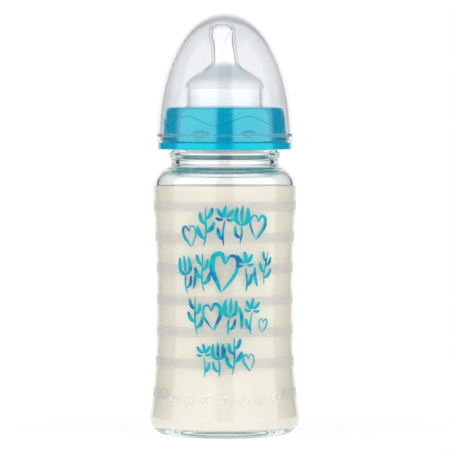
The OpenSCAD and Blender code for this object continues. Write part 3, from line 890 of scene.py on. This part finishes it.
def two_tones(recipe, first, second, scale, low=0.4, high=0.6):
    """A colour that drifts between two tones over the surface."""
    noise = recipe.add("ShaderNodeTexNoise")
    noise.inputs["Scale"].default_value = scale
    noise.inputs["Detail"].default_value = 2.0
    recipe.join(recipe.place(), noise.inputs["Vector"])
    ramp = recipe.add("ShaderNodeValToRGB")
    for element, place, colour in zip(ramp.color_ramp.elements, (low, high), (first, second)):
        element.position = place
        element.color = (*colour, 1)
    recipe.join(noise.outputs["Fac"], ramp.inputs["Fac"])
    return ramp.outputs["Color"]


def clear_material(name, surface, body, ripple, roughness, bump, depth):
    """A see-through material that lets the studio light pass through to what lies behind it.

    depth is the colour that the thickness gives, and how strong it is a metre.
    """
    recipe = Recipe(name)
    shader = recipe.shader(**body)
    scale, stretch = ripple
    low, high = roughness
    rippled(recipe, shader, recipe.group(surface, Scale=scale, Stretch=stretch, Low=low, High=high), *bump)
    pass_light, pick = recipe.add("ShaderNodeBsdfTransparent"), recipe.add("ShaderNodeMixShader")
    recipe.join(recipe.add("ShaderNodeLightPath").outputs["Is Shadow Ray"], pick.inputs[0])
    recipe.join(shader.outputs[0], pick.inputs[1])
    recipe.join(pass_light.outputs[0], pick.inputs[2])
    recipe.join(pick.outputs[0], recipe.out.inputs["Surface"])
    inside = recipe.add("ShaderNodeVolumeAbsorption")
    inside.inputs["Color"].default_value, inside.inputs["Density"].default_value = depth
    recipe.join(inside.outputs[0], recipe.out.inputs["Volume"])
    return recipe


def glass_material(surface):
    """Blown glass, clear on its face and blue-green in its depth."""
    return clear_material(
        "blown_glass",
        surface,
        body={"Base_Color": (0.985, 0.99, 0.988, 1), "IOR": 1.52, "Transmission_Weight": 1.0},
        ripple=(90, 0.25),
        roughness=(0.0, 0.012),
        bump=(0.05, 0.0006),
        depth=((0.36, 0.78, 0.72, 1), 6.0),
    ).material


def milk_material(surface):
    """Creamy milk, with hardly any gloss where it meets the glass."""
    recipe = Recipe("milk")
    shader = recipe.shader(IOR=1.1, Specular_IOR_Level=0.2)
    recipe.join(two_tones(recipe, (0.99, 0.94, 0.83), (1.0, 0.95, 0.855), 14), shader.inputs["Base Color"])
    rippled(recipe, shader, recipe.group(surface, Scale=20, Stretch=1.0, Low=0.35, High=0.45), 0.0, 0.0)
    return recipe.material


def teal_material(surface):
    """Glossy teal moulding of the ring, whose shine is greenish."""
    recipe = Recipe("teal_moulding")
    shader = recipe.shader(IOR=2.2, Specular_Tint=(0.05, 1.0, 0.7, 1))
    tones = two_tones(recipe, (0.0, 0.38, 0.6), (0.0, 0.42, 0.64), 30)
    recipe.join(tones, shader.inputs["Base Color"])
    rippled(recipe, shader, recipe.group(surface, Scale=120, Stretch=1.0, Low=0.08, High=0.14), 0.05, 0.0004)
    return recipe.material


def share_up(z):
    """A height on the teat as a share of its whole height."""
    return (z - TEAT_LOW) / (TIP_Z - TEAT_LOW)


SILICONE_CLEAR = (0.985, 0.975, 0.97, 1)
# painted shade: the pale and grey tones stand in for the dark room reflected in the dome and seen through it
SILICONE_PALE_SHADE = (0.9, 0.905, 0.91, 1)
SILICONE_GREY_SHADE = (0.74, 0.77, 0.805, 1)
# up the teat: where each tone of the silicone is reached; the pale and grey tones over the dome are painted
# shade
SILICONE_TONES = (
    (0.0, SILICONE_CLEAR),
    (share_up(DOME_EDGE - 0.6), SILICONE_CLEAR),
    (share_up(DOME_EDGE + 0.4), SILICONE_PALE_SHADE),
    (share_up(DOME_EDGE + 5.0), SILICONE_GREY_SHADE),
    (share_up(STEM_Z - 4.0), SILICONE_GREY_SHADE),
    (share_up(STEM_Z - 1.5), SILICONE_CLEAR),
)


def silicone_material(surface):
    """Milky silicone whose dome is painted a little greyer than its skirt and its nipple, as shade from the
    dark room seen in it and through it.
    """
    recipe = clear_material(
        "clear_silicone",
        surface,
        body={"IOR": 1.28, "Transmission_Weight": 0.86},
        ripple=(160, 1.0),
        roughness=(0.04, 0.09),
        bump=(0.05, 0.0005),
        depth=((0.75, 0.8, 0.86, 1), 60.0),
    )
    # painted shade: the base colour turns grey over the dome, by height up the teat
    height = recipe.add("ShaderNodeSeparateXYZ")
    recipe.join(recipe.place(), height.inputs[0])
    ramp = recipe.add("ShaderNodeValToRGB")
    span = recipe.add("ShaderNodeMapRange")
    recipe.join(height.outputs["Z"], span.inputs["Value"])
    span.inputs["From Min"].default_value = TEAT_LOW * MM
    span.inputs["From Max"].default_value = TIP_Z * MM
    recipe.join(span.outputs[0], ramp.inputs["Fac"])
    elements = ramp.color_ramp.elements
    while len(elements) < len(SILICONE_TONES):
        elements.new(1.0)
    for element, (place, colour) in zip(elements, SILICONE_TONES):
        element.position = place
        element.color = colour
    recipe.join(ramp.outputs["Color"], recipe.principled.inputs["Base Color"])
    return recipe.material


def cap_material(surface):
    """Clear hard plastic of the cap."""
    return clear_material(
        "clear_cap",
        surface,
        body={"Base_Color": (0.925, 0.93, 0.94, 1), "IOR": 1.36, "Transmission_Weight": 1.0},
        ripple=(50, 0.5),
        roughness=(0.0, 0.03),
        bump=(0.04, 0.0004),
        depth=((0.75, 0.8, 0.9, 1), 22.0),
    ).material


def hearts_material(surface):
    """Pale see-through coat on the raised hearts, letting most of what is behind show: its pale tone is
    painted light, for the light that the clear relief catches.
    """
    recipe = Recipe("hearts_painted_light")
    shader = recipe.shader(IOR=1.5, Alpha=0.35)
    # painted light: the pale tones stand in for light caught by the clear raised glass
    recipe.join(two_tones(recipe, (0.8, 0.81, 0.79), (0.9, 0.905, 0.89), 300), shader.inputs["Base Color"])
    rippled(recipe, shader, recipe.group(surface, Scale=500, Stretch=1.0, Low=0.1, High=0.2), 0.1, 0.0001)
    return recipe.material


def stripe_material(surface):
    """Thin grey enamel that the milk shows through."""
    recipe = Recipe("grey_enamel")
    shader = recipe.shader(IOR=1.45, Alpha=0.26)
    tones = two_tones(recipe, (0.6, 0.605, 0.6), (0.66, 0.665, 0.66), 220, low=0.35, high=0.65)
    recipe.join(tones, shader.inputs["Base Color"])
    rippled(recipe, shader, recipe.group(surface, Scale=400, Stretch=1.0, Low=0.25, High=0.4), 0.1, 0.0001)
    return recipe.material


def paint_material(surface):
    """Teal enamel of the brush figures, thin in some places and deep in others."""
    recipe = Recipe("teal_enamel")
    shader = recipe.shader(IOR=1.45, Specular_IOR_Level=0.1)
    wash = two_tones(recipe, (0.0, 0.44, 0.52), (0.0, 0.18, 0.38), 180, low=0.5, high=0.64)
    recipe.join(wash, shader.inputs["Base Color"])
    rippled(recipe, shader, recipe.group(surface, Scale=500, Stretch=1.0, Low=0.22, High=0.4), 0.1, 0.0001)
    return recipe.material


# ---- Studio ----

# The studio is a bright round: soft boxes beside the camera, dark walls at the sides and a white
# wall behind the bottle. Turns are in degrees from the camera's side, heights in degrees up.
BOX_LIGHT, BOX_START, BOX_END, BOX_TOP = 1.8, 15.0, 91.0, 58.0
SIDE_LIGHT, BACK_LIGHT, BACK_START, BACK_TOP = 0.05, 1.0, 148.0, 18.0
UPPER_SHARE = 0.5  # how bright the white wall is over its top, as a share
SOFT_EDGE = 5.0
FLOOR_GLOW, FLOOR_HALF, FLOOR_Z = 0.78, 0.7, -0.0004
FLOOR_TONES = ((0.3, 0.3, 0.3), (0.31, 0.31, 0.31))
GLASS_BOUNCES = 64  # light caught in the glass turns back and forth many times


def make_floor():
    """The small pale table that the bottle stands on."""
    recipe = Recipe("pale_floor")
    shader = recipe.shader(Roughness=0.9, Emission_Color=(1, 1, 1, 1), Emission_Strength=FLOOR_GLOW)
    recipe.join(two_tones(recipe, *FLOOR_TONES, 3), shader.inputs["Base Color"])
    mesh = bpy.data.meshes.new("floor")
    corners = [(x * FLOOR_HALF, y * FLOOR_HALF, FLOOR_Z) for x, y in ((-1, -1), (1, -1), (1, 1), (-1, 1))]
    mesh.from_pydata(corners, [], [(0, 1, 2, 3)])
    mesh.materials.append(recipe.material)
    floor = bpy.data.objects.new("floor", mesh)
    bpy.context.scene.collection.objects.link(floor)


def make_studio_light():
    """Light that comes from all round, by direction; the camera itself sees plain white."""
    world = bpy.data.worlds.new("studio")
    bpy.context.scene.world = world
    world.use_nodes = True
    nodes, links = world.node_tree.nodes, world.node_tree.links
    nodes.clear()

    def feed(socket, value):
        """Set a socket to a number, or join it to another node."""
        if isinstance(value, (int, float)):
            socket.default_value = value
        else:
            links.new(value, socket)

    def reckon(operation, *values):
        """The result of a sum done by a node."""
        node = nodes.new("ShaderNodeMath")
        node.operation = operation
        for socket, value in zip(node.inputs, values):
            feed(socket, value)
        return node.outputs[0]

    def step(value, at):
        """From 0 to 1 as an angle passes at, over a soft edge."""
        node = nodes.new("ShaderNodeMapRange")
        node.interpolation_type = "SMOOTHSTEP"
        feed(node.inputs["Value"], value)
        node.inputs["From Min"].default_value = math.radians(at - SOFT_EDGE)
        node.inputs["From Max"].default_value = math.radians(at + SOFT_EDGE)
        return node.outputs[0]

    way = nodes.new("ShaderNodeSeparateXYZ")
    links.new(nodes.new("ShaderNodeTexCoord").outputs["Generated"], way.inputs[0])
    towards = reckon("MULTIPLY", way.outputs["Y"], -1.0)
    turn = reckon("ABSOLUTE", reckon("ARCTAN2", way.outputs["X"], towards))
    rise = reckon("ARCSINE", way.outputs["Z"])
    low = reckon("SUBTRACT", 1.0, step(rise, BOX_TOP))
    box = reckon("MULTIPLY", step(turn, BOX_START), reckon("SUBTRACT", 1.0, step(turn, BOX_END)))
    light = reckon("MULTIPLY_ADD", reckon("MULTIPLY", box, low), BOX_LIGHT - SIDE_LIGHT, SIDE_LIGHT)
    upper = reckon("MULTIPLY_ADD", step(rise, BACK_TOP), UPPER_SHARE - 1.0, 1.0)
    back = reckon("MULTIPLY", step(turn, BACK_START), upper)
    light = reckon("MULTIPLY_ADD", back, BACK_LIGHT - SIDE_LIGHT, light)
    room, white = nodes.new("ShaderNodeBackground"), nodes.new("ShaderNodeBackground")
    links.new(light, room.inputs["Strength"])
    for background in (room, white):
        background.inputs["Color"].default_value = (1, 1, 1, 1)
    pick, out = nodes.new("ShaderNodeMixShader"), nodes.new("ShaderNodeOutputWorld")
    links.new(nodes.new("ShaderNodeLightPath").outputs["Is Camera Ray"], pick.inputs[0])
    links.new(room.outputs[0], pick.inputs[1])
    links.new(white.outputs[0], pick.inputs[2])
    links.new(pick.outputs[0], out.inputs["Surface"])


def make_studio():
    """The floor, the light round about, and how far light is followed through the glass."""
    scene = bpy.context.scene
    make_floor()
    make_studio_light()
    scene.view_settings.view_transform = "Standard"
    for kind in ("max_bounces", "transmission_bounces", "glossy_bounces", "transparent_max_bounces"):
        setattr(scene.cycles, kind, GLASS_BOUNCES)


# ---- The bottle ----

surface = fine_surface_group()
make_glass(glass_material(surface))
make_hearts(hearts_material(surface))
make_milk(milk_material(surface))
make_stripes(stripe_material(surface))
make_motif(paint_material(surface))
silicone = silicone_material(surface)
make_teat(silicone)
make_vent(silicone)
make_ring(teal_material(surface))
make_cap(cap_material(surface))
make_studio()
